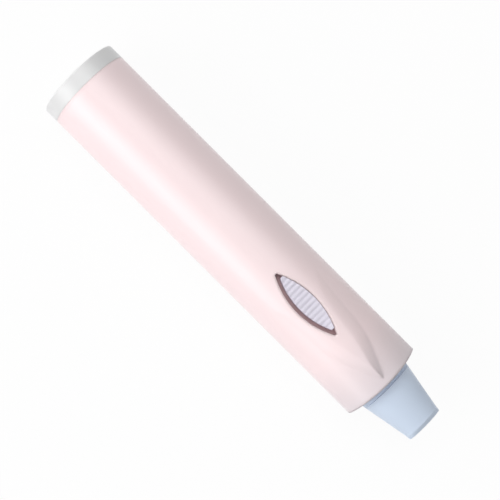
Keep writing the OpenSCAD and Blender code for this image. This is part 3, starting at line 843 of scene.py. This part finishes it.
@dataclass
class WarmHead:
    """Head with comb, warm plate and what lies behind it."""

    wardrobe: Wardrobe
    start: float = 97.6
    length: float = 14.4
    base: Triple = (7.275, 5.2, 3.6)
    end: Triple = (4.85, 3.2, 2.6)
    bevel: float = 1.1
    knee: float = 0.2
    bevel_side: float = 0.1
    neck: float = 2.0
    neck_sink: float = 1.0
    neck_step: float = 0.02
    belly: float = 3.4
    steps: int = 12
    bevel_steps: int = 5
    segments: int = 112
    pocket_half: float = 2.8
    pocket: Span = (99.0, 109.6)
    pocket_y: float = -0.6
    sharp_deg: float = 38.0

    def section(self, along: float) -> Triple:
        """Shape of the head at one place.

        Args:
            along: Distance from the foot of the head.

        Returns:
            Half width, rise and depth of the section there.
        """
        body = self.length - self.bevel
        share = min(along / body, 1.0)
        past = max(0.0, (along - body) / self.bevel)
        slope = past - self.knee / 2.0 if past > self.knee else past * past / (2.0 * self.knee)
        fall = self.bevel * slope
        half, rise, depth = (a + (b - a) * share for a, b in zip(self.base, self.end))
        sunk = self.neck_sink if along < self.neck else 0.0
        return half - fall * self.bevel_side, rise - fall - sunk, depth - fall * self.bevel_side

    def stations(self) -> list[float]:
        """Places the sections of the head, close together where the bevel begins.

        Returns:
            Their distances from the foot of the head.
        """
        body = self.length - self.bevel - self.neck
        neck = [0.0, self.neck - self.neck_step]
        taper = [self.neck + index / self.steps * body for index in range(self.steps + 1)]
        shares = [(index / self.bevel_steps) ** 2 for index in range(1, self.bevel_steps + 1)]
        return neck + taper + [self.length - self.bevel * (1.0 - share) for share in shares]

    def start_disc(self) -> Blank:
        """Makes the section from which the head is drawn out.

        Returns:
            A disc of radius 1, with its lower half squared off like the belly of the head.
        """
        disc = Blank()
        bmesh.ops.create_circle(disc.bm, cap_ends=True, segments=self.segments, radius=1.0)
        for vert in disc.bm.verts:
            if vert.co.y < 0.0:
                for axis in (0, 1):
                    value = vert.co[axis]
                    vert.co[axis] = math.copysign(abs(value) ** (2.0 / self.belly), value)
        return disc

    def build_shell(self) -> Blank:
        """Draws the head out of the disc, section by section.

        Returns:
            The closed head, in its place on the pen.
        """
        head = self.start_disc()
        front = head.bm.faces[:]
        ring = front[0].verts[:]
        reached = 0.0
        last = (1.0, 1.0, 1.0)
        for count, along in enumerate(self.stations()):
            if count:
                ring, front = head.grow(front, keep=count == 1)
                bmesh.ops.translate(head.bm, vec=(0.0, 0.0, along - reached), verts=ring)
            half, rise, depth = self.section(along)
            upper = [vert for vert in ring if vert.co.y >= 0.0]
            lower = [vert for vert in ring if vert.co.y < 0.0]
            bmesh.ops.scale(head.bm, vec=(half / last[0], rise / last[1], 1.0), verts=upper)
            bmesh.ops.scale(head.bm, vec=(half / last[0], depth / last[2], 1.0), verts=lower)
            reached, last = along, (half, rise, depth)
        head.shift(self.start)
        return head

    def sink_pocket(self, head: Blank) -> None:
        """Opens the pocket of the heater in the underside.

        Args:
            head: Head to open.
        """
        for side in (-1.0, 1.0):
            head.cut((side * self.pocket_half, 0.0, 0.0), (1.0, 0.0, 0.0))
        for z in self.pocket:
            head.cut((0.0, 0.0, z), (0.0, 0.0, 1.0))
        floor = []
        for face in head.bm.faces:
            middle = face.calc_center_median()
            inside = abs(middle.x) < self.pocket_half and self.pocket[0] < middle.z < self.pocket[1]
            if inside and middle.y < self.pocket_y:
                floor.append(face)
        sunk = bmesh.ops.extrude_face_region(head.bm, geom=floor)
        bmesh.ops.delete(head.bm, geom=floor, context="FACES")
        for item in sunk["geom"]:
            if isinstance(item, Vert):
                item.co.y = self.pocket_y

    def build(self) -> None:
        """Makes the smooth head shell in place of the plain one."""
        head = self.build_shell()
        self.sink_pocket(head)
        shell = head.object("head_cover", self.sharp_deg)
        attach(shell, Body.PEN.value)
        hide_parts("head_shell")
        self.wardrobe.dress(shell, Finish.HEAD)

    def dress(self) -> None:
        """Paints what the head carries."""
        self.wardrobe.dress_nodes(Finish.COMB, "comb")
        self.wardrobe.dress_nodes(Finish.PLATE, "heater_plate")
        self.wardrobe.dress_nodes(Finish.FIRED, "heater_element", "thermal_cutout")
        self.wardrobe.dress_nodes(Finish.MICA, "insulator")


@dataclass
class Works:
    """Everything inside the barrel."""

    wardrobe: Wardrobe

    def dress(self) -> None:
        """Paints the inner pieces."""
        self.wardrobe.dress_nodes(Finish.CELL, "battery_can")
        self.wardrobe.dress_nodes(
            Finish.STEEL, "battery_nub", "battery_spring", "cap_contact", "board_screws", "head_screws"
        )
        self.wardrobe.dress_nodes(Finish.BRASS, "positive_contact", "negative_strip")
        self.wardrobe.dress_nodes(Finish.FRAME, "chassis")
        self.wardrobe.dress_nodes(Finish.BOARD, "circuit_board")
        self.wardrobe.dress_nodes(Finish.BLACK, "control_chip")
        self.wardrobe.dress_nodes(Finish.FIRED, "chip_parts")
        self.wardrobe.dress_nodes(Finish.SLEEVE, "lead_wires")


@dataclass(frozen=True)
class Lamp:
    """One soft box, swung from the camera's direction to one side and along the pen, and aimed at it."""

    name: str
    side_deg: float
    along_deg: float
    distance: float
    size: Span
    power: float


@dataclass
class Studio:
    """Camera, floor, lamps and world, in metres."""

    focal_px: float = 1360.6
    frame_px: float = 500.0
    distance: float = 0.3115
    lean_deg: float = 5.0
    tilt_deg: float = 0.26
    sensor_mm: float = 36.0
    sight: Span = (0.01, 50.0)
    aim: Triple = (-0.00055, 0.0, 0.0104)
    world_level: float = 0.20
    floor_size: float = 4.0
    floor_colour: Colour = (0.90, 0.90, 0.90)
    floor_shade: Colour = (0.86, 0.86, 0.86)
    floor_grain_mm: float = 0.6
    floor_mottle: float = 0.1
    floor_glow: float = 0.94
    lamps: Sequence[Lamp] = (
        Lamp("key_box", 54.0, -22.0, 0.55, (0.62, 0.28), 1.28),
        Lamp("left_box", 35.0, -20.0, 0.90, (0.60, 0.50), 2.14),
        Lamp("top_box", -10.0, -20.0, 0.90, (0.60, 0.50), 2.20),
        Lamp("right_box", -35.0, -10.0, 0.90, (0.60, 0.50), 1.47),
    )

    def toward_camera(self) -> Vector:
        """Finds where the camera stands.

        Returns:
            Unit vector from the pen to the camera.
        """
        lean = math.tan(math.radians(self.lean_deg))
        tilt = math.tan(math.radians(self.tilt_deg))
        return Vector((-tilt, -lean, 1.0)).normalized()

    def photo_axes(self) -> tuple[Vector, Vector, Vector]:
        """Directions seen in the photograph.

        Returns:
            The pen axis across the view, the side direction across the view, and the way to the camera.
        """
        toward = self.toward_camera()
        along = Vector((1.0, 0.0, 0.0))
        along = (along - along.dot(toward) * toward).normalized()
        return along, toward.cross(along), toward

    def set_camera(self) -> None:
        """Places the camera so that the pen runs from upper left to lower right."""
        along, side, toward = self.photo_axes()
        right = (along + side).normalized()
        up = (side - along).normalized()
        data = bpy.data.cameras.new("photo_camera")
        data.sensor_width = self.sensor_mm
        data.lens = self.sensor_mm * self.focal_px / self.frame_px
        data.clip_start, data.clip_end = self.sight
        camera = bpy.data.objects.new("photo_camera", data)
        turn = Matrix((right, up, toward)).transposed().to_4x4()
        camera.matrix_world = Matrix.Translation(Vector(self.aim) + toward * self.distance) @ turn
        bpy.context.collection.objects.link(camera)
        bpy.context.scene.camera = camera

    def set_floor(self) -> None:
        """Lays a pale floor that stays white in the picture and keeps the shadow."""
        mesh = bpy.data.meshes.new("floor")
        sheet = bmesh.new()
        bmesh.ops.create_grid(sheet, x_segments=1, y_segments=1, size=self.floor_size / 2)
        sheet.to_mesh(mesh)
        sheet.free()
        floor = bpy.data.objects.new("floor", mesh)
        bpy.context.collection.objects.link(floor)
        paint = Paint("floor_paper")
        grain = paint.noise(self.floor_grain_mm, detail=2.0)
        colour = paint.blend(grain * self.floor_mottle, self.floor_colour, self.floor_shade)
        matt = paint.node("ShaderNodeBsdfDiffuse", None, {"Color": colour})
        glow = paint.node("ShaderNodeEmission", None, {"Color": (1.0, 1.0, 1.0), "Strength": 1.0})
        seen = paint.seen_directly() * self.floor_glow
        mixed = paint.node("ShaderNodeMixShader", None, {0: seen, 1: matt, 2: glow})
        mesh.materials.append(paint.close(mixed))

    def set_world(self) -> None:
        """Even pale surroundings, white where the camera or a reflection sees them."""
        world = bpy.data.worlds.new("studio_air")
        bpy.context.scene.world = world
        world.use_nodes = True
        board = NodeBoard(world.node_tree)
        level = self.world_level + board.seen_directly() * (1.0 - self.world_level)
        air = board.node("ShaderNodeBackground", None, {"Color": (1.0, 1.0, 1.0), "Strength": level})
        board.node("ShaderNodeOutputWorld", None, {"Surface": air})

    def set_lamps(self) -> None:
        """Hangs the soft boxes around the pen."""
        along, side, toward = self.photo_axes()
        for lamp in self.lamps:
            data = bpy.data.lights.new(lamp.name, "AREA")
            data.shape = "RECTANGLE"
            data.size, data.size_y = lamp.size
            data.energy = lamp.power
            turn = Matrix.Rotation(math.radians(lamp.side_deg), 3, along)
            lift = Matrix.Rotation(math.radians(lamp.along_deg), 3, side)
            way = lift @ (turn @ toward)
            ahead = (along - along.dot(way) * way).normalized()
            box = bpy.data.objects.new(lamp.name, data)
            axes = Matrix((ahead, way.cross(ahead), way)).transposed().to_4x4()
            box.matrix_world = Matrix.Translation(Vector(self.aim) + way * lamp.distance) @ axes
            bpy.context.collection.objects.link(box)

    def build(self) -> None:
        """Sets the whole stage."""
        bpy.context.scene.view_settings.view_transform = "Standard"
        self.set_camera()
        self.set_floor()
        self.set_world()
        self.set_lamps()


def main() -> None:
    """Builds and dresses the pen, then sets the stage."""
    logging.basicConfig(level=logging.INFO, format="%(message)s")
    wardrobe = Wardrobe()
    for part in (Shell(wardrobe), PushButton(wardrobe), WarmHead(wardrobe)):
        part.build()
        part.dress()
        LOG.info("finished %s", type(part).__name__)
    Works(wardrobe).dress()
    Studio().build()


if __name__ == "__main__":
    main()
